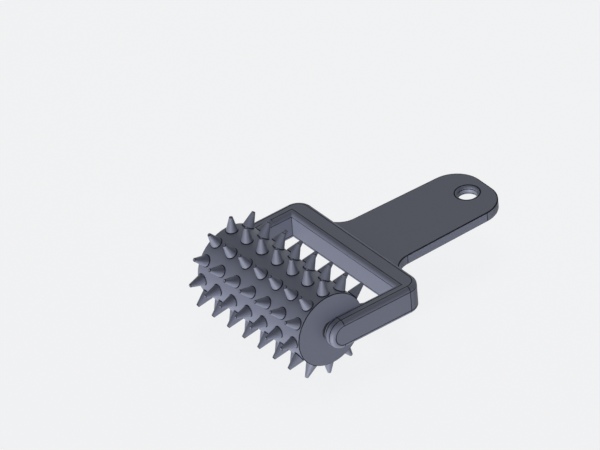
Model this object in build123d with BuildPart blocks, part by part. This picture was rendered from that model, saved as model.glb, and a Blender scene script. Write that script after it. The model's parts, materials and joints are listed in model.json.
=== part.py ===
from build123d import *
import os
from math import atan, cos, degrees, pi, radians, sin

# Dough docker: a spiked roller that turns on an axle in a U-shaped yoke,
# with a flat paddle handle let into the back of the yoke.
# Millimetres, +Z up. The roller's axis lies along X and the handle points along +Y.
# The origin is under the middle of the whole tool, level with the lowest spike tips.

# Roller drum
drum_diameter = 49.4
drum_length = 100.0

# Spikes, each a tapered peg whose foot is coped to the drum in narrow flats
spike_rows = 12
spikes_per_row = 7
spike_end_inset = 5.0
spike_height = 10.0
spike_base_diameter = 7.8
spike_tip_diameter = 2.2
spike_foot_sink = 0.78
spike_sides = 10
cope_flats = 48

# Axle and bushes, whose flanges stand outside the drum and take its side thrust
axle_diameter = 8.0
axle_end_recess = 0.3
axle_seat_depth = 7.0
axle_flat_depth = 0.8
axle_flat_length = 5.0
axle_fit = 0.03
running_fit = 0.06
bush_wall = 1.6
bush_length = 12.0
bush_flange_diameter = 13.0
bush_flange_thickness = 0.8
bush_seat_fit = 0.02
side_clearance = 0.3

# Yoke
yoke_height = 19.6
arm_thickness = 9.5
bar_thickness = 14.8
throat = 49.6
nose_setback = 2.7
corner_radius = 10.3
edge_radius = 3.0

# Handle
handle_thickness = 6.4
handle_rise = 4.5
handle_reach = 159.6
root_width = 53.9
end_width = 49.3
flare_radius = 14.3
end_radius = 18.7
tongue_shoulder = 0.75
tongue_depth = 11.0
tongue_fit = 0.05
hang_hole_diameter = 12.0
hang_hole_inset = 13.9
hang_hole_chamfer = 2.1

# Handle screws, from below through the yoke into the tongue
screw_diameter = 4.0
screw_head_diameter = 7.0
screw_head_height = 3.0
screw_length = 9.5
screw_spacing = 50.0
screw_head_sink = 0.4
screw_clearance = 0.2
screw_key_width = 3.0
screw_key_depth = 1.8
tap_runout = 0.5

# Set screws, from below into each arm, that hold the axle
set_screw_diameter = 4.0
set_screw_sink = 1.2
set_screw_key_width = 2.0
set_screw_key_depth = 1.5

# Places worked out from the sizes above
drum_radius = drum_diameter / 2
tip_radius = drum_radius + spike_height
roller_z = tip_radius
roller_y = (tip_radius - handle_reach) / 2
inner_x = drum_length / 2 + bush_flange_thickness + side_clearance
outer_x = inner_x + arm_thickness
bar_inner_y = roller_y + throat
bar_outer_y = bar_inner_y + bar_thickness
bar_middle_y = bar_outer_y - bar_thickness / 2
nose_y = roller_y + nose_setback
nose_radius = yoke_height / 2
nose_tip_y = nose_y - nose_radius
yoke_bottom_z = roller_z - yoke_height / 2
handle_bottom_z = roller_z + handle_rise - handle_thickness
handle_end_y = roller_y + handle_reach
tongue_width = root_width + 2 * (flare_radius + tongue_shoulder)
hang_hole_y = handle_end_y - hang_hole_inset
axle_radius = axle_diameter / 2
axle_flat_z = roller_z - axle_radius + axle_flat_depth
arm_middle_x = inner_x + arm_thickness / 2
bush_bore_radius = axle_radius + running_fit
bush_radius = bush_bore_radius + bush_wall
spike_foot_z = drum_radius - spike_foot_sink
spike_narrowing = (spike_base_diameter - spike_tip_diameter) / 2 * cos(pi / spike_sides)
spike_taper = degrees(atan(spike_narrowing / (tip_radius - spike_foot_z)))
first_spike_x = spike_end_inset - drum_length / 2
spike_pitch = -2 * first_spike_x / (spikes_per_row - 1)
row_step = 360 / spike_rows
set_screw_bottom_z = yoke_bottom_z + set_screw_sink
screw_seat_z = yoke_bottom_z + screw_head_sink + screw_head_height
screw_places = [(side * screw_spacing / 2, bar_middle_y) for side in (-1, 1)]
set_screw_places = [(side * arm_middle_x, roller_y) for side in (-1, 1)]

os.makedirs("parts", exist_ok=True)


def across(x):
    """A plane square to the roller's axis at x, centred on that axis, its first axis along +Y."""
    return Plane(origin=(x, roller_y, roller_z), x_dir=(0, 1, 0), z_dir=(1, 0, 0))


def spike_places(row):
    """The places of one row's spikes, each turned so that its own +Z points out of the drum."""
    turn = radians(row * row_step)
    outward = (0, -sin(turn), cos(turn))
    places = []
    for number in range(spikes_per_row):
        foot = (first_spike_x + number * spike_pitch, roller_y, roller_z)
        places.append(Plane(origin=foot, x_dir=(1, 0, 0), z_dir=outward).location)
    return places


def save(piece, name):
    """Label a finished piece and write it as a STEP file of that name."""
    piece.label = name
    export_step(piece, f"parts/{name}.step")


# Yoke: a U with rounded arm ends, and every long edge rounded over
with BuildPart() as yoke:
    with BuildSketch(Plane.XY.offset(yoke_bottom_z)):
        with BuildLine():
            Polyline(
                (-inner_x, nose_tip_y),
                (-outer_x, nose_tip_y),
                (-outer_x, bar_outer_y),
                (outer_x, bar_outer_y),
                (outer_x, nose_tip_y),
                (inner_x, nose_tip_y),
                (inner_x, bar_inner_y),
                (-inner_x, bar_inner_y),
                close=True,
            )
        make_face()
    extrude(amount=yoke_height)
    fillet(yoke.edges().filter_by(Axis.Z).group_by(Axis.Y)[-1], radius=corner_radius)

    # The side view: straight arms with a full round at the nose
    with BuildSketch(across(-outer_x)):
        with Locations((nose_setback, 0)):
            Circle(nose_radius)
            Rectangle(bar_outer_y - nose_y, yoke_height, align=(Align.MIN, Align.CENTER))
    extrude(amount=2 * outer_x, mode=Mode.INTERSECT)
    nose_seams = yoke.edges().filter_by(Axis.X).sort_by(SortBy.LENGTH)[:4]
    fillet(yoke.edges() - yoke.edges().filter_by(Axis.Z) - nose_seams, radius=edge_radius)

    # Mortise for the handle's tongue, open at the back
    with BuildSketch(Plane.XY.offset(handle_bottom_z - tongue_fit)):
        with Locations((0, bar_outer_y)):
            Rectangle(
                tongue_width + 2 * tongue_fit,
                tongue_depth + tongue_fit,
                align=(Align.CENTER, Align.MAX),
            )
    extrude(amount=handle_thickness + 2 * tongue_fit, mode=Mode.SUBTRACT)

    # Axle bore: through the far arm and blind in the near one
    with BuildSketch(across(-outer_x)):
        Circle(axle_radius + axle_fit)
    extrude(amount=outer_x + inner_x + axle_seat_depth, mode=Mode.SUBTRACT)

    # Set screw holes up to the axle, and counterbored holes for the handle screws
    with BuildSketch(Plane.XY.offset(yoke_bottom_z)):
        with Locations(*set_screw_places):
            Circle(set_screw_diameter / 2)
    extrude(amount=yoke_height / 2, mode=Mode.SUBTRACT)
    with BuildSketch(Plane.XY.offset(yoke_bottom_z)):
        with Locations(*screw_places):
            Circle(screw_head_diameter / 2 + screw_clearance)
    extrude(amount=screw_seat_z - yoke_bottom_z, mode=Mode.SUBTRACT)
    with BuildSketch(Plane.XY.offset(screw_seat_z)):
        with Locations(*screw_places):
            Circle(screw_diameter / 2 + screw_clearance)
    extrude(amount=handle_bottom_z - screw_seat_z, mode=Mode.SUBTRACT)
save(yoke.part, "yoke")

# Handle: a flat paddle with flared roots, a round end, a hang hole and a hidden tongue
with BuildPart() as handle:
    with BuildSketch(Plane.XY.offset(handle_bottom_z)) as paddle:
        with BuildLine():
            Polyline(
                (-tongue_width / 2, bar_outer_y - tongue_depth),
                (-tongue_width / 2, bar_outer_y),
                (-root_width / 2, bar_outer_y),
                (-end_width / 2, handle_end_y),
                (end_width / 2, handle_end_y),
                (root_width / 2, bar_outer_y),
                (tongue_width / 2, bar_outer_y),
                (tongue_width / 2, bar_outer_y - tongue_depth),
                close=True,
            )
        make_face()
        fillet(paddle.vertices().group_by(Axis.Y)[-1], radius=end_radius)
        roots = paddle.vertices().group_by(Axis.Y)[1].sort_by(Axis.X)[1:3]
        fillet(roots, radius=flare_radius)
    extrude(amount=handle_thickness)
    with Locations((0, hang_hole_y, handle_bottom_z + handle_thickness)):
        Hole(hang_hole_diameter / 2, depth=handle_thickness)
    chamfer(handle.edges(Select.LAST).filter_by(GeomType.CIRCLE), length=hang_hole_chamfer)
    with BuildSketch(Plane.XY.offset(handle_bottom_z)):
        with Locations(*screw_places):
            Circle(screw_diameter / 2)
    extrude(amount=screw_seat_z + screw_length + tap_runout - handle_bottom_z, mode=Mode.SUBTRACT)
save(handle.part, "handle")

# Two cap screws that hold the tongue in the yoke
with BuildPart() as handle_screws:
    with BuildSketch(Plane.XY.offset(screw_seat_z - screw_head_height)):
        with Locations(*screw_places):
            Circle(screw_head_diameter / 2)
    extrude(amount=screw_head_height)
    with BuildSketch(Plane.XY.offset(screw_seat_z)):
        with Locations(*screw_places):
            Circle(screw_diameter / 2)
    extrude(amount=screw_length)
    with BuildSketch(Plane.XY.offset(screw_seat_z - screw_head_height)):
        with Locations(*screw_places):
            RegularPolygon(screw_key_width / 2, 6, major_radius=False)
    extrude(amount=screw_key_depth, mode=Mode.SUBTRACT)
save(handle_screws.part, "handle_screws")

# Axle: a plain rod with a flat under each set screw
with BuildPart() as axle:
    with BuildSketch(across(-outer_x + axle_end_recess)):
        Circle(axle_radius)
    extrude(amount=outer_x - axle_end_recess + inner_x + axle_seat_depth - axle_fit)
    with BuildSketch(Plane.XY.offset(roller_z - axle_radius)):
        with Locations(*set_screw_places):
            Rectangle(axle_flat_length, axle_diameter)
    extrude(amount=axle_flat_depth, mode=Mode.SUBTRACT)
save(axle.part, "axle")

# Set screws, one up into each arm, seated on the axle's flats
with BuildPart() as axle_set_screws:
    with BuildSketch(Plane.XY.offset(set_screw_bottom_z)):
        with Locations(*set_screw_places):
            Circle(set_screw_diameter / 2)
    extrude(amount=axle_flat_z - set_screw_bottom_z)
    with BuildSketch(Plane.XY.offset(set_screw_bottom_z)):
        with Locations(*set_screw_places):
            RegularPolygon(set_screw_key_width / 2, 6, major_radius=False)
    extrude(amount=set_screw_key_depth, mode=Mode.SUBTRACT)
save(axle_set_screws.part, "axle_set_screws")

# Flanged bushes, let into the ends of the drum and running on the axle
for side, name in ((1, "near_bush"), (-1, "far_bush")):
    with BuildPart() as bush:
        with BuildSketch(across(side * drum_length / 2)):
            Circle(bush_radius)
        extrude(amount=-side * bush_length)
        with BuildSketch(across(side * drum_length / 2)):
            Circle(bush_flange_diameter / 2)
        extrude(amount=side * bush_flange_thickness)
        with BuildSketch(across(side * (drum_length / 2 + bush_flange_thickness))):
            Circle(bush_bore_radius)
        extrude(amount=-side * (bush_flange_thickness + bush_length), mode=Mode.SUBTRACT)
    save(bush.part, name)

# Drum: a solid roller bored right through, with a bush in each end of the bore
with BuildPart() as drum:
    with BuildSketch(across(-drum_length / 2)):
        Circle(drum_radius)
        Circle(bush_radius + bush_seat_fit, mode=Mode.SUBTRACT)
    extrude(amount=drum_length)
save(drum.part, "drum")

# One spike at the roller's axis, pointing up, its foot cut away to flats that are tangent to the drum
with BuildPart() as spike:
    with BuildSketch(Plane.XY.offset(spike_foot_z)):
        RegularPolygon(spike_base_diameter / 2, spike_sides)
    extrude(amount=tip_radius - spike_foot_z, taper=spike_taper)
    with BuildSketch(Plane.YZ.offset(-spike_base_diameter)):
        RegularPolygon(drum_radius, cope_flats, major_radius=False, rotation=180 / cope_flats)
    extrude(amount=2 * spike_base_diameter, mode=Mode.SUBTRACT)

# Spikes, one node for each row along the drum
for row in range(spike_rows):
    with BuildPart() as spike_row:
        with Locations(*spike_places(row)):
            add(spike.part)
    save(spike_row.part, f"spike_row_{row + 1:02d}")
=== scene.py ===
# %% [markdown]
# # A dough docker in slate grey
# A dough docker pricks rolled dough so that it bakes flat. Its spiked roller turns on an axle in a
# U-shaped yoke, and a flat paddle handle is let into the back of the yoke.
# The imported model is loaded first. It fixes every size and place, and the pieces made here are only
# the finer surfaces that go over it. The axle, the bushes and the screws stay as they are packed and
# only get a finish. A new Blender file may hold a cube, a camera and a lamp, which go out at once.

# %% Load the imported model
import json
from math import cos, pi, radians, sin, sqrt

import bmesh
import bpy
from mathutils import Matrix, Vector


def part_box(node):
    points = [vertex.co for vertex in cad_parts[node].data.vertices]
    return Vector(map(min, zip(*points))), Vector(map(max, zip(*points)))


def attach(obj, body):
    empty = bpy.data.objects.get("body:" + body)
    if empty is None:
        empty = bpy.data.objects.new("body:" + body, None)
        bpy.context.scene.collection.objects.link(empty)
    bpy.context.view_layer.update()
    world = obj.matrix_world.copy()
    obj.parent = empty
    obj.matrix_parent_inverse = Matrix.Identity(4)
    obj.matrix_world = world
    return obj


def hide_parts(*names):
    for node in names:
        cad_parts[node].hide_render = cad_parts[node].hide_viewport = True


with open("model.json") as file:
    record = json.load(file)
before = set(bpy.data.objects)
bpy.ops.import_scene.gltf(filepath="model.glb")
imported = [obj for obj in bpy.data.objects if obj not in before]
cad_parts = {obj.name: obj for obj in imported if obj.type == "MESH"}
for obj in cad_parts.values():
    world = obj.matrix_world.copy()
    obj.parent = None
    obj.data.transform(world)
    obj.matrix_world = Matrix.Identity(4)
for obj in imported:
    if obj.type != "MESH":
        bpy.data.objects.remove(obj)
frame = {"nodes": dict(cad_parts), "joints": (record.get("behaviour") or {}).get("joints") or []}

for leftover in ("Cube", "Camera", "Light"):
    if leftover in bpy.data.objects:
        bpy.data.objects.remove(bpy.data.objects[leftover])
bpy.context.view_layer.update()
scene = bpy.context.scene

# %% [markdown]
# ## Sizes read from the model
# A piece that is placed by numbers typed twice drifts away from the model. So the roller's axis, its
# radii and its length are read from the loaded model. Only what a box can't tell, such as the radius of
# a corner, is typed again where it is needed.

# %% Read the roller's sizes
MM = 0.001
FULL_TURN = 2 * pi

axis_point = Vector(frame["joints"][0]["pos_m"])
drum_low, drum_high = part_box("drum")
drum_radius = (drum_high.z - drum_low.z) / 2
drum_length = drum_high.x - drum_low.x
row_names = sorted(name for name in frame["nodes"] if name.startswith("spike_row"))
first_row_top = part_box(row_names[0])[1].z
tip_reach = first_row_top - axis_point.z
print(f"drum {2 * drum_radius / MM:.1f} x {drum_length / MM:.1f} mm")
print(f"{len(row_names)} rows of spikes, with tips {tip_reach / MM:.1f} mm from the axis")

# %% [markdown]
# ## The camera
# The photograph is drawn in parallel projection, so the camera is orthographic: edges that run away
# from the viewer stay parallel. The view is given by an azimuth, an elevation and a slight roll, and the
# roller's axis is put on the pixel where the photograph shows it.

# %% Set the camera up
PHOTO_WIDTH = 600
PHOTO_HEIGHT = 450
PIXELS_PER_METRE = 1642
AXIS_PIXEL_X = 280.1
AXIS_PIXEL_Y = 294.6
VIEW_AZIMUTH = radians(54.45)
VIEW_ELEVATION = radians(35.62)
VIEW_ROLL = radians(-4.53)
CAMERA_DISTANCE = 0.7

to_camera = Vector((
    cos(VIEW_ELEVATION) * sin(VIEW_AZIMUTH),
    -cos(VIEW_ELEVATION) * cos(VIEW_AZIMUTH),
    sin(VIEW_ELEVATION),
))
level_right = Vector((cos(VIEW_AZIMUTH), sin(VIEW_AZIMUTH), 0))
level_up = to_camera.cross(level_right)
view_right = level_right * cos(VIEW_ROLL) + level_up * sin(VIEW_ROLL)
view_up = level_up * cos(VIEW_ROLL) - level_right * sin(VIEW_ROLL)

view_centre = (
    axis_point
    + view_right * ((PHOTO_WIDTH / 2 - AXIS_PIXEL_X) / PIXELS_PER_METRE)
    + view_up * ((AXIS_PIXEL_Y - PHOTO_HEIGHT / 2) / PIXELS_PER_METRE)
)
camera_data = bpy.data.cameras.new("photo_view")
camera_data.type = "ORTHO"
camera_data.ortho_scale = PHOTO_WIDTH / PIXELS_PER_METRE
camera = bpy.data.objects.new("photo_view", camera_data)
camera_turn = Matrix((view_right, view_up, to_camera)).transposed().to_4x4()
camera.matrix_world = Matrix.Translation(view_centre + to_camera * CAMERA_DISTANCE) @ camera_turn
scene.collection.objects.link(camera)
scene.camera = camera
print(f"view is {camera_data.ortho_scale / MM:.1f} mm wide")

# %% [markdown]
# ## Shader maths as plain expressions
# A node tree is hard to read as code. Here one small class stands for a value that flows between
# nodes, and Python's own operators add the Math nodes, so a finish can be written as `0.4 + 0.1 * cloud`.
# Every node but the output comes from one method that takes its type, its settings and its inputs.
# Two helpers read what several finishes need: one coordinate of a place, and whether a surface is being
# looked at or only lends its light.

# %% Write the class for a flowing value
class Flow:
    """A number, colour or vector that comes out of a node."""

    def __init__(self, finish, socket):
        self.finish = finish
        self.socket = socket

    def __add__(self, other):
        return self.finish.maths("ADD", self, other)

    def __radd__(self, other):
        return self.finish.maths("ADD", other, self)

    def __sub__(self, other):
        return self.finish.maths("SUBTRACT", self, other)

    def __rsub__(self, other):
        return self.finish.maths("SUBTRACT", other, self)

    def __mul__(self, other):
        return self.finish.maths("MULTIPLY", self, other)

    def __rmul__(self, other):
        return self.finish.maths("MULTIPLY", other, self)

    def __pow__(self, other):
        return self.finish.maths("POWER", self, other)


print("class ready: Flow")

# %% Write the class for a finish
class Finish:
    """One material, or the world, built node by node."""

    def __init__(self, owner, output_type="OutputMaterial"):
        self.owner = owner
        owner.use_nodes = True
        self.tree = owner.node_tree
        self.tree.nodes.clear()
        self.output = self.tree.nodes.new("ShaderNode" + output_type)

    def node(self, kind, settings=None, inputs=None, output=0):
        """Add a node, set it up, feed its inputs, and give back what flows from one output."""
        made = self.tree.nodes.new("ShaderNode" + kind)
        for name, value in (settings or {}).items():
            setattr(made, name, value)
        for name, value in (inputs or {}).items():
            self.feed(made.inputs[name], value)
        return Flow(self, made.outputs[output])

    def feed(self, socket, value):
        """Link a flow to a socket, or set the socket to a plain value."""
        if isinstance(value, Flow):
            self.tree.links.new(value.socket, socket)
        else:
            socket.default_value = value

    def maths(self, operation, *values):
        """Add a Math node that works on these values in turn."""
        return self.node("Math", {"operation": operation}, dict(enumerate(values)))

    def surface(self, shader):
        """Show a shader on the surface, and give back the material or world that carries it."""
        self.tree.links.new(shader.socket, self.output.inputs["Surface"])
        return self.owner


print("class ready: Finish")

# %% Write the helpers that read places and rays
def coordinate(finish, place, axis):
    """One coordinate of a place, by its letter."""
    return finish.node("SeparateXYZ", inputs={"Vector": place}, output=axis)


def plainly_seen(finish):
    """1 for what the camera sees, straight, mirrored or through glass, and 0 for light on a piece."""
    direct, mirrored, through_glass = (
        finish.node("LightPath", output=f"Is {ray} Ray") for ray in ("Camera", "Glossy", "Transmission")
    )
    return finish.maths("MINIMUM", direct + mirrored + through_glass, 1.0)


print("helpers ready: coordinate and plainly_seen")

# %% [markdown]
# ## Light
# The light is soft and white. The world gives an even part of it, weaker from straight above than from
# the horizon. To the camera, and in mirrors and glass, the world is plain white.
# The photograph's darkest faces look up, and its lightest look to the picture's left and a little down,
# even inside the yoke. That is the light that a pale table throws back. So the main lamp stands in front
# of the tool, to the left and lower down, and casts no shadow, because the floor would stand in its way.
# It is a sun lamp: with a strength of pi it would show a face that looks at it in the face's own colour.
# A soft lamp overhead casts the shadow on the floor.

# %% Make the world
WORLD_AT_HORIZON = 0.32
WORLD_OVERHEAD = 0.13
WHITE = (1, 1, 1, 1)

world = bpy.data.worlds.new("soft_studio")
scene.world = world
sky = Finish(world, "OutputWorld")
direction = sky.node("TexCoord", output="Generated")
upness = sky.maths("MAXIMUM", coordinate(sky, direction, "Z"), 0.0)
soft_light = WORLD_AT_HORIZON - upness * (WORLD_AT_HORIZON - WORLD_OVERHEAD)
strength = soft_light + plainly_seen(sky) * (1 - soft_light)
sky.surface(sky.node("Background", inputs={"Color": WHITE, "Strength": strength}))
scene.view_settings.view_transform = "Standard"
print(f"world gives {WORLD_AT_HORIZON} at the horizon and {WORLD_OVERHEAD} overhead")

# %% Hang the lamps
TABLE_LIGHT_STRENGTH = 1.56 * pi
TABLE_LIGHT_SPREAD = radians(40)
TABLE_LIGHT_SIDE = (0.36, -0.80, -0.48)
SOFT_BOX_SIZE = 0.5
SOFT_BOX_WATTS = 1.5
SOFT_BOX_SIDE = (-0.15, 0.30, 1.0)
LAMP_DISTANCE = 1.0


def hang(data, side):
    """Place a lamp on one side of the roller, so that it faces the roller."""
    lamp = bpy.data.objects.new(data.name, data)
    away = Vector(side).normalized()
    turn = away.to_track_quat("Z", "Y").to_matrix().to_4x4()
    lamp.matrix_world = Matrix.Translation(axis_point + away * LAMP_DISTANCE) @ turn
    scene.collection.objects.link(lamp)


table_light = bpy.data.lights.new("light_from_the_table", "SUN")
table_light.energy = TABLE_LIGHT_STRENGTH
table_light.angle = TABLE_LIGHT_SPREAD
table_light.use_shadow = False
hang(table_light, TABLE_LIGHT_SIDE)

overhead_light = bpy.data.lights.new("overhead_soft_box", "AREA")
overhead_light.size = SOFT_BOX_SIZE
overhead_light.energy = SOFT_BOX_WATTS
hang(overhead_light, SOFT_BOX_SIDE)
print("lamps:", table_light.name, overhead_light.name)

# %% [markdown]
# ## The floor
# The photograph has a plain pale ground and no horizon. The floor is one large pale plane. Part of
# what the camera sees of it is its own pale glow, so that it stays pale whatever the lamps do, and the
# rest is lit in the usual way, so that it still takes the tool's shadow.

# %% Lay the floor
FLOOR_SIZE = 8.0
FLOOR_PAPER = (0.86, 0.87, 0.9, 1)
FLOOR_GLOW = (0.985, 0.99, 1.0, 1)
FLOOR_GLOW_SHARE = 0.85

floor_mesh = bmesh.new()
bmesh.ops.create_grid(floor_mesh, x_segments=1, y_segments=1, size=FLOOR_SIZE / 2)
floor_data = bpy.data.meshes.new("floor")
floor_mesh.to_mesh(floor_data)
floor_mesh.free()
floor = bpy.data.objects.new("floor", floor_data)
scene.collection.objects.link(floor)

ground = Finish(bpy.data.materials.new("pale_floor"))
paper = ground.node("BsdfDiffuse", inputs={"Color": FLOOR_PAPER})
glow = ground.node("Emission", inputs={"Color": FLOOR_GLOW, "Strength": 1.0})
glow_share = plainly_seen(ground) * FLOOR_GLOW_SHARE
floor_data.materials.append(
    ground.surface(ground.node("MixShader", inputs={0: glow_share, 1: paper, 2: glow}))
)
print("floor:", FLOOR_SIZE, "m square")

# %% [markdown]
# ## The finishes
# The whole tool is one slate grey. What tells the pieces apart is how they are made: the yoke is cast
# and the handle is cut from bar, and both are powder coated, which leaves a fine orange peel. The drum
# and the spikes are moulded plastic, with a finer skin. The steel and the bushes hardly show.
# Rims and edges are rubbed to a matt and nearly black tone: primer on the coated pieces, and grime on the
# plastic ones. The same dark tone is also painted in as shade in creases: in the upright inner corners of
# the yoke, at the foot of each spike, and in a ring on the drum round it. Each face says in a corner
# attribute how far it is worn or painted with shade, and a finish can also be given a mask for lines that
# no face follows. So a finish is two shaders, the coat and the dark primer, which also serves as the
# painted shade, and a Mix Shader goes from one to the other where the piece is worn and where shade is
# painted.
# All patterns are in Object coordinates, which are metres here, so a noise scale of 1000 is a grain of
# one millimetre.

# %% Write the helpers for patterns
MIX_FIRST_COLOUR = 6
MIX_SECOND_COLOUR = 7
MIX_COLOUR_RESULT = 2


def noise(finish, place, scale, detail, roughness=0.5):
    """Soft random values from 0 to 1, with about `scale` lumps to the metre."""
    inputs = {"Vector": place, "Scale": scale, "Detail": detail, "Roughness": roughness}
    return finish.node("TexNoise", {"noise_dimensions": "3D"}, inputs)


def between(finish, share, first, second):
    """A colour on the way from first to second."""
    inputs = {0: share, MIX_FIRST_COLOUR: first, MIX_SECOND_COLOUR: second}
    return finish.node("Mix", {"data_type": "RGBA"}, inputs, output=MIX_COLOUR_RESULT)


def relief(finish, height, depth):
    """A bumped normal, with its full height given in metres."""
    return finish.node("Bump", inputs={"Strength": 1.0, "Distance": depth, "Height": height})


print("helpers ready: noise, between and relief")

# %% Write the recipe for slate
SLATE_DARK = (0.124, 0.134, 0.183, 1)
SLATE_LIGHT = (0.145, 0.157, 0.212, 1)
SLATE_SHINE = 0.35
CLOUD_SHARE = 0.7
CLOUD_ROUGHNESS = 0.10
PEEL_SHARE = 0.8
GRAINS_PER_PEEL = 3
DARK_PRIMER_AND_SHADE = (0.008, 0.009, 0.013, 1)
PRIMER_AND_SHADE_ROUGHNESS = 0.85
PRIMER_AND_SHADE_SHINE = 0.1
WEAR_AND_SHADE_SCALE = 160
WEAR_AND_SHADE_LEAST = 0.7
WEAR_AND_SHADE_SWING = 0.6


def slate(name, peel_scale, peel_depth, base_roughness, cloud_scale, lines=None):
    """Slate grey with slow clouds of tone, a fine relief, edges worn to the dark primer, and painted
    shade in creases in the same dark tone.
    """
    finish = Finish(bpy.data.materials.new(name))
    place = finish.node("TexCoord", output="Object")
    cloud = noise(finish, place, cloud_scale, detail=4)
    grain = noise(finish, place, peel_scale * GRAINS_PER_PEEL, detail=2)
    peel = noise(finish, place, peel_scale, detail=1)
    # This attribute carries edge wear and painted shade in creases alike, and both mix toward the dark
    # primer.
    rubbed = finish.node("Attribute", {"attribute_name": "rubbed"}, output="Fac")
    worn_and_shaded = rubbed * (WEAR_AND_SHADE_LEAST + WEAR_AND_SHADE_SWING * noise(finish, place, WEAR_AND_SHADE_SCALE, detail=6, roughness=0.7))
    if lines:
        worn_and_shaded = finish.maths("MAXIMUM", worn_and_shaded, lines(finish, place))
    tone = CLOUD_SHARE * cloud + (1 - CLOUD_SHARE) * grain
    skin = relief(finish, PEEL_SHARE * peel + (1 - PEEL_SHARE) * grain, peel_depth)
    coat = finish.node("BsdfPrincipled", inputs={
        "Base Color": between(finish, tone, SLATE_DARK, SLATE_LIGHT),
        "Roughness": base_roughness + CLOUD_ROUGHNESS * cloud,
        "Specular IOR Level": SLATE_SHINE,
        "Normal": skin,
    })
    primer_and_shade = finish.node("BsdfPrincipled", inputs={
        "Base Color": DARK_PRIMER_AND_SHADE,
        "Roughness": PRIMER_AND_SHADE_ROUGHNESS,
        "Specular IOR Level": PRIMER_AND_SHADE_SHINE,
        "Normal": skin,
    })
    return finish.surface(finish.node("MixShader", inputs={0: worn_and_shaded, 1: coat, 2: primer_and_shade}))


print("recipe ready: slate")

# %% Mix the coat of the frame and the plastic of the spikes
POWDER_COAT = {"peel_scale": 900, "peel_depth": 0.05 * MM, "base_roughness": 0.48, "cloud_scale": 22}

frame_coat = slate("frame_coat", **POWDER_COAT)
spike_plastic = slate(
    "spike_plastic", peel_scale=2200, peel_depth=0.012 * MM, base_roughness=0.46, cloud_scale=60,
)
print("slate finishes:", frame_coat.name, spike_plastic.name)

# %% Make the turned steel
STEEL_DARK = (0.86, 0.86, 0.88)
STEEL_LIGHT = (1.0, 1.0, 1.01)
STREAK_STRETCH = (1, 14, 14)
STREAK_ROUGHNESS = 0.14
SPOT_ROUGHNESS = 0.06


def turned_steel(name, tone, roughness):
    """Machined steel with fine streaks across the tool's width."""
    finish = Finish(bpy.data.materials.new(name))
    place = finish.node("TexCoord", output="Object")
    stretched = finish.node("Mapping", inputs={"Vector": place, "Scale": STREAK_STRETCH})
    streaks = noise(finish, stretched, scale=420, detail=5)
    spots = noise(finish, place, scale=90, detail=3)
    dark = (*(tone * part for part in STEEL_DARK), 1)
    light = (*(tone * part for part in STEEL_LIGHT), 1)
    shader = finish.node("BsdfPrincipled", inputs={
        "Base Color": between(finish, streaks, dark, light),
        "Metallic": 1.0,
        "Roughness": roughness + STREAK_ROUGHNESS * streaks + SPOT_ROUGHNESS * spots,
        "Normal": relief(finish, streaks, depth=0.004 * MM),
    })
    return finish.surface(shader)


axle_steel = turned_steel("axle_steel", tone=0.42, roughness=0.26)
fastener_steel = turned_steel("fastener_steel", tone=0.34, roughness=0.30)
print("steels:", axle_steel.name, fastener_steel.name)

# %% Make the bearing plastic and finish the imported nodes
BUSH_DARK = (0.030, 0.030, 0.033, 1)
BUSH_LIGHT = (0.042, 0.042, 0.045, 1)
BUSH_ROUGHNESS = 0.36
BUSH_CLOUD_ROUGHNESS = 0.12


def bearing_plastic(name):
    """Black bearing plastic, smooth and a little waxy."""
    finish = Finish(bpy.data.materials.new(name))
    place = finish.node("TexCoord", output="Object")
    cloud = noise(finish, place, scale=120, detail=4)
    grain = noise(finish, place, scale=2600, detail=2)
    shader = finish.node("BsdfPrincipled", inputs={
        "Base Color": between(finish, cloud, BUSH_DARK, BUSH_LIGHT),
        "Roughness": BUSH_ROUGHNESS + BUSH_CLOUD_ROUGHNESS * cloud,
        "Normal": relief(finish, grain, depth=0.006 * MM),
    })
    return finish.surface(shader)


bush_plastic = bearing_plastic("bush_plastic")
for node, material in (
    ("axle", axle_steel),
    ("axle_set_screws", fastener_steel),
    ("handle_screws", fastener_steel),
    ("near_bush", bush_plastic),
    ("far_bush", bush_plastic),
):
    frame["nodes"][node].material_slots[0].material = material
print("finishes given to the nodes that stay as they are")

# %% [markdown]
# ## From a bmesh to a finished piece
# Every new piece ends the same way: the normals are turned outwards, soft edges are smoothed and crisp
# ones kept, the piece is tied to the body that it moves with, and the nodes that it stands for are
# hidden.
# A Weighted Normal modifier lets the broad faces set the shading, so that a narrow bevel doesn't bend
# the light on the flat beside it.
# The narrow faces along an edge are marked as rubbed, because there a hand or a cloth wears the grey
# down, and faces in a crease are marked the same way to carry painted shade. The edge faces come from
# bevels, so the settings that all bevels share are kept in one helper.

# %% Write the helpers that every piece uses
X, Y, Z = range(3)
SAME_PLACE = 0.001 * MM
HAIR = 0.01 * MM
FLAT_NORMAL = 0.99999
SMALLEST_FLAT = 20 * MM ** 2
CRISP_ANGLE = radians(32)


def middle_of(edge):
    """The point half way along an edge."""
    return (edge.verts[0].co + edge.verts[1].co) / 2


def is_broad_flat(face, axes=(X, Y, Z)):
    """True for a broad face that looks straight along one of these axes."""
    return max(abs(face.normal[axis]) for axis in axes) > FLAT_NORMAL and face.calc_area() > SMALLEST_FLAT


def bevelled(mesh, geom, width, segments, affect="EDGES"):
    """Bevel some edges or corners of a mesh, and give back the new faces."""
    return bmesh.ops.bevel(
        mesh, geom=geom, offset=width, segments=segments, profile=0.5, affect=affect, material=-1,
    )["faces"]


def mark_wear_and_shade(mesh, faces, share=1.0):
    """Write a corner attribute that says how far each face is worn to the primer or painted with shade.
    """
    layers = mesh.loops.layers.float
    layer = layers.get("rubbed") or layers.new("rubbed")
    for face in faces:
        for corner in face.loops:
            corner[layer] = share


print("helpers ready: middle_of, is_broad_flat, bevelled and mark_wear_and_shade")

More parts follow.
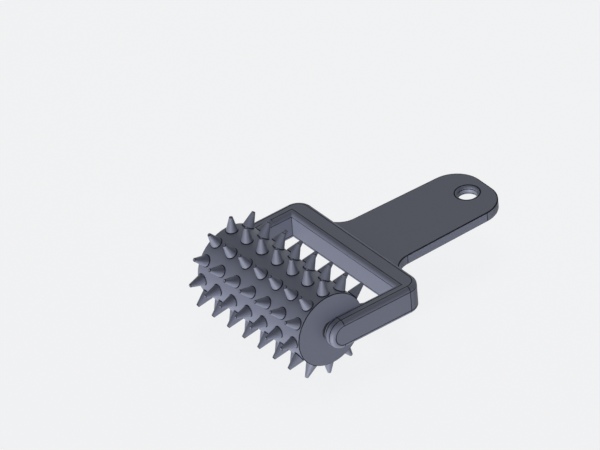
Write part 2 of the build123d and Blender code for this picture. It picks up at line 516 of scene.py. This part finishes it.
# %% Write the helper that ends every piece
def finished(mesh, name, body, material, nodes):
    """Turn a bmesh into the object that stands for the named nodes."""
    bmesh.ops.recalc_face_normals(mesh, faces=mesh.faces)
    for face in mesh.faces:
        face.smooth = True
    for edge in mesh.edges:
        edge.smooth = edge.calc_face_angle(0) < CRISP_ANGLE
    open_edges = sum(not edge.is_manifold for edge in mesh.edges)
    data = bpy.data.meshes.new(name)
    mesh.to_mesh(data)
    mesh.free()
    data.materials.append(material)
    piece = bpy.data.objects.new(name, data)
    scene.collection.objects.link(piece)
    weighted = piece.modifiers.new("even_shading", "WEIGHTED_NORMAL")
    weighted.keep_sharp = True
    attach(piece, body)
    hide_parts(*nodes)
    print(f"{name}: {len(data.polygons)} faces, {open_edges} open edges")


print("helper ready: finished")

# %% [markdown]
# ## The yoke
# The yoke is cast in one piece, with flat sides and one rolled edge that runs all the way round. It
# could be built again from a path and a profile, but the model already has its true shape, so this piece
# starts from a merged copy of that mesh.
# The casting has a fine witness line where a flat side, or the wall round an outer corner, meets the
# rolled edge, and another where a nose or an outer corner starts. The upright inner corner of each arm
# gets the same fine dark line, and there it is painted shade in the crease. Each of those edges is
# bevelled by about a third of a millimetre to either side, which keeps the shape and gives a narrow strip
# that can carry the dark tone.

# %% Measure the yoke
YOKE_CORNER_RADIUS = 10.3 * MM
ARM_WIDTH = 9.5 * MM
BAR_WIDTH = 14.8 * MM
ROLLED_RADIUS = 3 * MM

yoke_low, yoke_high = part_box("yoke")
nose_radius = (yoke_high.z - yoke_low.z) / 2
nose_y = yoke_low.y + nose_radius
corner_centre = Vector((yoke_high.x, yoke_high.y, 0)) - Vector((1, 1, 0)) * YOKE_CORNER_RADIUS
print(f"noses of radius {nose_radius / MM:.1f} mm, arms {ARM_WIDTH / MM:.1f} mm wide")

# %% Say which edges are witness lines, and which inner corners get painted shade
SAME_FLAT_ANGLE = radians(0.2)
ROLLED_STEP_ANGLE = radians(30)
UPRIGHT_NORMAL = 0.001


def is_corner_wall(face):
    """True for a facet of the wall that goes round an outer corner."""
    middle = face.calc_center_median()
    beyond_corner = abs(middle.x) > corner_centre.x and middle.y > corner_centre.y
    return beyond_corner and abs(face.normal.z) < UPRIGHT_NORMAL


def lies_at(edge, axis, place):
    """True for an edge in the plane across one axis at this place, or at its mirror image."""
    first, second = (vert.co[axis] for vert in edge.verts)
    return abs(first - second) < HAIR and abs(abs(first) - abs(place)) < HAIR


# The dark line in each upright inner corner is painted shade in the crease.
def in_inner_corner(edge):
    """True for the upright edge where an arm meets the bar inside the yoke."""
    return lies_at(edge, X, yoke_high.x - ARM_WIDTH) and lies_at(edge, Y, yoke_high.y - BAR_WIDTH)


def starts_a_bend(edge):
    """True for an edge that crosses the rolled edge where a nose or an outer corner starts."""
    middle = middle_of(edge)
    return (
        lies_at(edge, Y, nose_y)
        or (lies_at(edge, Y, corner_centre.y) and abs(middle.x) > corner_centre.x)
        or (lies_at(edge, X, corner_centre.x) and middle.y > corner_centre.y)
    )


def is_witness_or_shade_line(edge):
    """True for an edge of the yoke that gets a fine dark line: a witness line of the casting, or painted
    shade in an inner corner.
    """
    walls = [is_broad_flat(face) or is_corner_wall(face) for face in edge.link_faces]
    gentle = SAME_FLAT_ANGLE < edge.calc_face_angle() < ROLLED_STEP_ANGLE
    return (gentle and (walls[0] != walls[1] or starts_a_bend(edge))) or in_inner_corner(edge)


print("helper ready: is_witness_or_shade_line")

# %% Copy the yoke, and bevel its witness lines and its shaded inner corners
WITNESS_AND_SHADE_HALF_WIDTH = 0.32 * MM
WITNESS_AND_SHADE_SHARE = 0.9

yoke_mesh = bmesh.new()
yoke_mesh.from_mesh(frame["nodes"]["yoke"].data)
bmesh.ops.remove_doubles(yoke_mesh, verts=yoke_mesh.verts, dist=SAME_PLACE)
bmesh.ops.dissolve_limit(
    yoke_mesh, angle_limit=SAME_FLAT_ANGLE, verts=yoke_mesh.verts, edges=yoke_mesh.edges,
    use_dissolve_boundaries=False,
)
witness_and_shade_edges = [edge for edge in yoke_mesh.edges if is_witness_or_shade_line(edge)]
witness_and_shade_strips = bevelled(yoke_mesh, witness_and_shade_edges, WITNESS_AND_SHADE_HALF_WIDTH, segments=1)
mark_wear_and_shade(yoke_mesh, witness_and_shade_strips, WITNESS_AND_SHADE_SHARE)
bmesh.ops.dissolve_degenerate(yoke_mesh, dist=HAIR, edges=yoke_mesh.edges)
print(len(witness_and_shade_edges), "witness edges on the yoke")

# %% [markdown]
# ## The lines round the noses
# Two more witness lines run round each nose, where its wall meets the rolled edges. The facets there are
# short and many, and bevelled they give a ragged line. So these arcs are drawn in the finish, by a mask:
# a point lies on one when it is half a wall's width from the middle of its arm and in front of the place
# where the nose starts.

# %% Draw the arcs in the yoke's finish
def nose_arcs(finish, place):
    """A mask for the two arcs where the wall round each nose meets its rolled edges."""
    arm_middle = yoke_high.x - ARM_WIDTH / 2
    half_wall = ARM_WIDTH / 2 - ROLLED_RADIUS
    x = coordinate(finish, place, "X")
    y = coordinate(finish, place, "Y")
    from_middle = finish.maths("ABSOLUTE", finish.maths("ABSOLUTE", x) - arm_middle)
    on_arc = finish.maths("COMPARE", from_middle, half_wall, WITNESS_AND_SHADE_HALF_WIDTH)
    return on_arc * finish.maths("LESS_THAN", y, nose_y)


cast_coat = slate("cast_coat", **POWDER_COAT, lines=nose_arcs)
finished(yoke_mesh, "cast_yoke", "frame", cast_coat, ["yoke"])

# %% [markdown]
# ## The drum
# The drum is a solid moulded roller, bored right through. On the lathe it would be turned from a bar,
# and it is made the same way here: a flat profile is spun about the roller's axis. Its two rims are
# crisp but not sharp, so they get a round bevel of just under half a millimetre, which is rubbed dark.

# %% Turn the drum
DRUM_STEPS = 160
BORE_RADIUS = 5.68 * MM
RIM_ROUND = 0.45 * MM
RIM_SEGMENTS = 4


def turned_ring(low, high, inner, outer, steps):
    """A closed ring about the roller's axis, from x low to x high."""
    mesh = bmesh.new()
    corners = [
        mesh.verts.new(axis_point + Vector((x - axis_point.x, 0, radius)))
        for x, radius in ((low, inner), (high, inner), (high, outer), (low, outer))
    ]
    profile = [mesh.edges.new((corners[i - 1], corners[i])) for i in range(len(corners))]
    bmesh.ops.spin(
        mesh, geom=corners + profile, cent=axis_point, axis=(1, 0, 0), angle=FULL_TURN,
        steps=steps, use_merge=True, use_duplicate=False,
    )
    return mesh


def distance_from_axis(point):
    """How far a point lies from the roller's axis."""
    return Vector((0, point.y - axis_point.y, point.z - axis_point.z)).length


drum_mesh = turned_ring(drum_low.x, drum_high.x, BORE_RADIUS, drum_radius, DRUM_STEPS)
rims = [
    edge for edge in drum_mesh.edges
    if all(distance_from_axis(vert.co) > drum_radius - RIM_ROUND for vert in edge.verts)
    and edge.verts[0].co.x == edge.verts[1].co.x
]
mark_wear_and_shade(drum_mesh, bevelled(drum_mesh, rims, RIM_ROUND, RIM_SEGMENTS))
print(len(rims), "rim edges rounded")

# %% [markdown]
# ## The painted shade round the feet
# A narrow dark ring is painted on the drum round the foot of each spike, as the shade in the crease where
# the spike stands. The drum's mesh has no edges there, and cutting 84 rings into it would cost many
# faces. So the rings are a mask in the finish. It takes a point's place along the drum and its turn about
# the axis, works out how far both are from the nearest spike, and marks the points whose distance is the
# ring's radius.

# %% Draw the rings of painted shade in the drum's finish
SPIKES_PER_ROW = 7
END_MARGIN = 5 * MM
FOOT_RING_RADIUS = 3.78 * MM
FOOT_RING_HALF_WIDTH = 0.27 * MM

spike_pitch = (drum_length - 2 * END_MARGIN) / (SPIKES_PER_ROW - 1)


def from_nearest(finish, value, step):
    """How far a value lies from the nearest whole multiple of a step."""
    return (finish.maths("FRACT", value * (1 / step) + 0.5) - 0.5) * step


def shaded_foot_rings(finish, place):
    """A mask for the narrow ring of painted shade on the drum round each spike's foot."""
    x, y, z = (coordinate(finish, place, axis) for axis in "XYZ")
    turn = finish.maths("ARCTAN2", z - axis_point.z, y - axis_point.y)
    turn_from_row = from_nearest(finish, turn, FULL_TURN / len(row_names))
    around = finish.maths("SINE", turn_from_row) * drum_radius
    along = from_nearest(finish, x, spike_pitch)
    distance = (along * along + around * around) ** 0.5
    return finish.maths("COMPARE", distance, FOOT_RING_RADIUS, FOOT_RING_HALF_WIDTH)


roller_plastic = slate(
    "roller_plastic", peel_scale=1800, peel_depth=0.02 * MM, base_roughness=0.46, cloud_scale=35,
    lines=shaded_foot_rings,
)
finished(drum_mesh, "moulded_drum", "roller", roller_plastic, ["drum"])

# %% [markdown]
# ## The handle
# The handle is a flat bar, cut to a paddle and coated. Its outline needs ten points for each half, and
# every curve in it is a corner rounded to a radius: the end, the flared root and the hang hole, whose
# half is a square notch with both corners rounded. So one half is drawn, rounded, raised and mirrored.
# The outer edges and the hole's two lips are then rounded. Wear darkens the rounded edges, the first and
# last strips of the lips, a narrow border round each flat, and the upright lines where a curve starts.

# %% Measure the handle
TONGUE_DEPTH = 11.0 * MM
ROOT_WIDTH = 53.9 * MM
END_WIDTH = 49.3 * MM
FLARE_RADIUS = 14.3 * MM
END_RADIUS = 18.7 * MM
HOLE_RADIUS = 6.0 * MM
HOLE_INSET = 13.9 * MM

handle_low, handle_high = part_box("handle")
handle_thickness = handle_high.z - handle_low.z
shoulder_y = handle_low.y + TONGUE_DEPTH
hole_y = handle_high.y - HOLE_INSET
print(f"paddle {(handle_high.y - shoulder_y) / MM:.1f} mm long behind the yoke")

# %% Draw, round and raise one half
CORNER_SEGMENTS = 20
JOIN_DISTANCE = 0.005 * MM


def round_corner(mesh, corner, radius):
    """Round one corner of a flat outline to a radius."""
    sides = [(edge.other_vert(corner).co - corner.co) for edge in corner.link_edges]
    half_turn = sides[0].angle(sides[1]) / 2
    cut_back = radius * cos(half_turn) / sin(half_turn)
    bevelled(mesh, [corner], cut_back, CORNER_SEGMENTS, affect="VERTICES")


handle_mesh = bmesh.new()
outline = [
    ((0, handle_low.y), 0),
    ((handle_high.x, handle_low.y), 0),
    ((handle_high.x, shoulder_y), 0),
    ((ROOT_WIDTH / 2, shoulder_y), FLARE_RADIUS),
    ((END_WIDTH / 2, handle_high.y), END_RADIUS),
    ((0, handle_high.y), 0),
    ((0, hole_y + HOLE_RADIUS), 0),
    ((HOLE_RADIUS, hole_y + HOLE_RADIUS), HOLE_RADIUS),
    ((HOLE_RADIUS, hole_y - HOLE_RADIUS), HOLE_RADIUS),
    ((0, hole_y - HOLE_RADIUS), 0),
]
corners = [handle_mesh.verts.new((x, y, handle_low.z)) for (x, y), radius in outline]
handle_mesh.faces.new(corners)
for corner, (place, radius) in zip(corners, outline):
    if radius:
        round_corner(handle_mesh, corner, radius)
bmesh.ops.remove_doubles(handle_mesh, verts=handle_mesh.verts, dist=JOIN_DISTANCE)
raised = bmesh.ops.extrude_face_region(handle_mesh, geom=handle_mesh.faces[:])["geom"]
bmesh.ops.translate(
    handle_mesh, vec=(0, 0, handle_thickness),
    verts=[part for part in raised if isinstance(part, bmesh.types.BMVert)],
)
print("half a paddle:", len(handle_mesh.verts), "points")

# %% Mirror the half
middle_walls = [
    face for face in handle_mesh.faces
    if all(abs(vert.co.x) < SAME_PLACE for vert in face.verts)
]
bmesh.ops.delete(handle_mesh, geom=middle_walls, context="FACES")
bmesh.ops.mirror(handle_mesh, geom=handle_mesh.faces[:], axis="X", merge_dist=JOIN_DISTANCE)
bmesh.ops.remove_doubles(handle_mesh, verts=handle_mesh.verts, dist=JOIN_DISTANCE)
bmesh.ops.recalc_face_normals(handle_mesh, faces=handle_mesh.faces)
print("whole paddle:", len(handle_mesh.verts), "points")

# %% Tell the handle's edges apart
SQUARE_EDGE_ANGLE = 1.0
HOLE_REACH = 1.01 * HOLE_RADIUS
MIDDLE_STRIP = 1.1 * HOLE_RADIUS
LONG_WALL_RATIO = 3


def rim_edges(level, inside_hole):
    """The edges round the hang hole, or all other edges of the outline, at one level."""
    found = []
    for edge in handle_mesh.edges:
        middle = middle_of(edge)
        in_hole = (middle - Vector((0, hole_y, level))).length < HOLE_REACH
        square = edge.calc_face_angle(0) > SQUARE_EDGE_ANGLE
        if abs(middle.z - level) < SAME_PLACE and square and in_hole == inside_hole:
            found.append(edge)
    return found


def starts_a_curve(edge):
    """True for an upright edge between a long wall and the first narrow face of a curve."""
    first, second = (vert.co for vert in edge.verts)
    upright = abs(first.z - second.z) > handle_thickness / 2
    beside_middle = abs(first.x) > MIDDLE_STRIP
    small, large = sorted(face.calc_area() for face in edge.link_faces)
    gentle = edge.calc_face_angle() < CRISP_ANGLE
    return upright and beside_middle and gentle and large > LONG_WALL_RATIO * small


print("helpers ready: rim_edges and starts_a_curve")

# %% Round the handle's edges
PADDLE_EDGE_ROUND = 0.45 * MM
PADDLE_EDGE_SEGMENTS = 3
HOLE_LIP_ROUND = 2.1 * MM
LIP_SEGMENTS = 6

curve_starts = [edge for edge in handle_mesh.edges if starts_a_curve(edge)]
mark_wear_and_shade(
    handle_mesh, bevelled(handle_mesh, curve_starts, WITNESS_AND_SHADE_HALF_WIDTH, segments=1), WITNESS_AND_SHADE_SHARE
)
outer_edges = rim_edges(handle_high.z, False) + rim_edges(handle_low.z, False)
mark_wear_and_shade(
    handle_mesh, bevelled(handle_mesh, outer_edges, PADDLE_EDGE_ROUND, PADDLE_EDGE_SEGMENTS)
)
hole_edges = rim_edges(handle_high.z, True) + rim_edges(handle_low.z, True)
hole_lips = bevelled(handle_mesh, hole_edges, HOLE_LIP_ROUND, LIP_SEGMENTS)
lip_step = pi / 2 / LIP_SEGMENTS
end_strip = 0.75 * lip_step
lip_rims = [
    face for face in hole_lips
    if abs(face.normal.z) > cos(end_strip) or abs(face.normal.z) < sin(end_strip)
]
mark_wear_and_shade(handle_mesh, lip_rims)
print(len(outer_edges), "outer edges and", len(hole_edges), "edges of the hang hole rounded")

# %% Border the handle's flats and finish it
BORDER_WIDTH = 0.35 * MM

paddle_flats = [face for face in handle_mesh.faces if is_broad_flat(face, axes=(Z,))]
borders = bmesh.ops.inset_region(
    handle_mesh, faces=paddle_flats, thickness=BORDER_WIDTH, use_even_offset=True, use_boundary=True,
)["faces"]
mark_wear_and_shade(handle_mesh, borders, WITNESS_AND_SHADE_SHARE)
print(len(paddle_flats), "flat faces with", len(borders), "border faces")
finished(handle_mesh, "coated_handle", "frame", frame_coat, ["handle"])

# %% [markdown]
# ## The spikes
# Each spike is a round cone with a small blunt tip, and its foot is coped to the drum. It is pushed in
# from outside, and a fine gap is left under its rim. The gap and a narrow band above it are painted dark
# as shade at the foot, and the edge of the tip is rubbed dark. One spike is spun from a profile. The
# rings of its foot are then let down onto the drum, which is lower towards the foot's two sides. Every
# row is that spike, copied along the drum and turned about the axis.

# %% Make one spike
SPIKE_STEPS = 36
FOOT_RADIUS = 3.74 * MM
FOOT_SINK = 0.3 * MM
FOOT_GAP = 0.3 * MM
FOOT_BAND = 0.3 * MM
NECK_INSET = 0.4 * MM
TIP_RADIUS = 1.1 * MM
TIP_ROUND = 0.3 * MM
TIP_SEGMENTS = 3

neck_radius = FOOT_RADIUS - NECK_INSET
sunk_at = drum_radius - FOOT_SINK
foot_at = drum_radius + FOOT_GAP
band_top = foot_at + FOOT_BAND
cone_slope = (FOOT_RADIUS - TIP_RADIUS) / (tip_reach - foot_at)


def one_spike():
    """A spike that stands up from the roller's axis, at the origin, with its foot on the drum."""
    mesh = bmesh.new()
    half_outline = (
        (0, sunk_at),
        (neck_radius, sunk_at),
        (neck_radius, foot_at),
        (FOOT_RADIUS, foot_at),
        (FOOT_RADIUS - FOOT_BAND * cone_slope, band_top),
        (TIP_RADIUS, tip_reach),
        (0, tip_reach),
    )
    points = [mesh.verts.new((radius, 0, height)) for radius, height in half_outline]
    profile = [mesh.edges.new(pair) for pair in zip(points, points[1:])]
    bmesh.ops.spin(
        mesh, geom=points + profile, cent=(0, 0, 0), axis=(0, 0, 1), angle=FULL_TURN,
        steps=SPIKE_STEPS, use_merge=True, use_duplicate=False,
    )
    bmesh.ops.remove_doubles(mesh, verts=mesh.verts, dist=SAME_PLACE)
    tip_rim = [
        edge for edge in mesh.edges
        if all(vert.co.z > tip_reach - TIP_ROUND and vert.co.xy.length > TIP_ROUND for vert in edge.verts)
    ]
    bevelled(mesh, tip_rim, TIP_ROUND, TIP_SEGMENTS)
    for vert in mesh.verts:
        if vert.co.z < band_top + FOOT_BAND:
            vert.co.z += sqrt(drum_radius ** 2 - vert.co.y ** 2) - drum_radius
    return mesh


pattern_mesh = one_spike()
pattern_data = bpy.data.meshes.new("spike_pattern")
pattern_mesh.to_mesh(pattern_data)
pattern_mesh.free()
print("one spike:", len(pattern_data.polygons), "faces")

# %% Copy the spike into rows
TIP_RIM_DEPTH = 1.5 * TIP_ROUND


def is_foot_shade_or_worn_tip(face):
    """True for a face of the gap and band round a spike's foot, which get painted shade, or of the
    rounded edge of its tip, which is worn.
    """
    reach = distance_from_axis(face.calc_center_median())
    four_sided = len(face.verts) == 4
    return reach < band_top or (reach > tip_reach - TIP_RIM_DEPTH and four_sided)


for row, node in enumerate(row_names):
    row_mesh = bmesh.new()
    turn = Matrix.Rotation(FULL_TURN * row / len(row_names), 4, "X")
    for number in range(SPIKES_PER_ROW):
        before = len(row_mesh.verts)
        row_mesh.from_mesh(pattern_data)
        row_mesh.verts.ensure_lookup_table()
        along = (number - (SPIKES_PER_ROW - 1) / 2) * spike_pitch
        place = Matrix.Translation(axis_point + Vector((along, 0, 0))) @ turn
        bmesh.ops.transform(row_mesh, matrix=place, verts=row_mesh.verts[before:])
    # The gap and band at each foot are painted dark as shade, and the rounded edge of the tip as wear.
    mark_wear_and_shade(row_mesh, [face for face in row_mesh.faces if is_foot_shade_or_worn_tip(face)])
    name = node.replace("spike", "round_spike")
    finished(row_mesh, name, "roller", spike_plastic, [node])
bpy.data.meshes.remove(pattern_data)
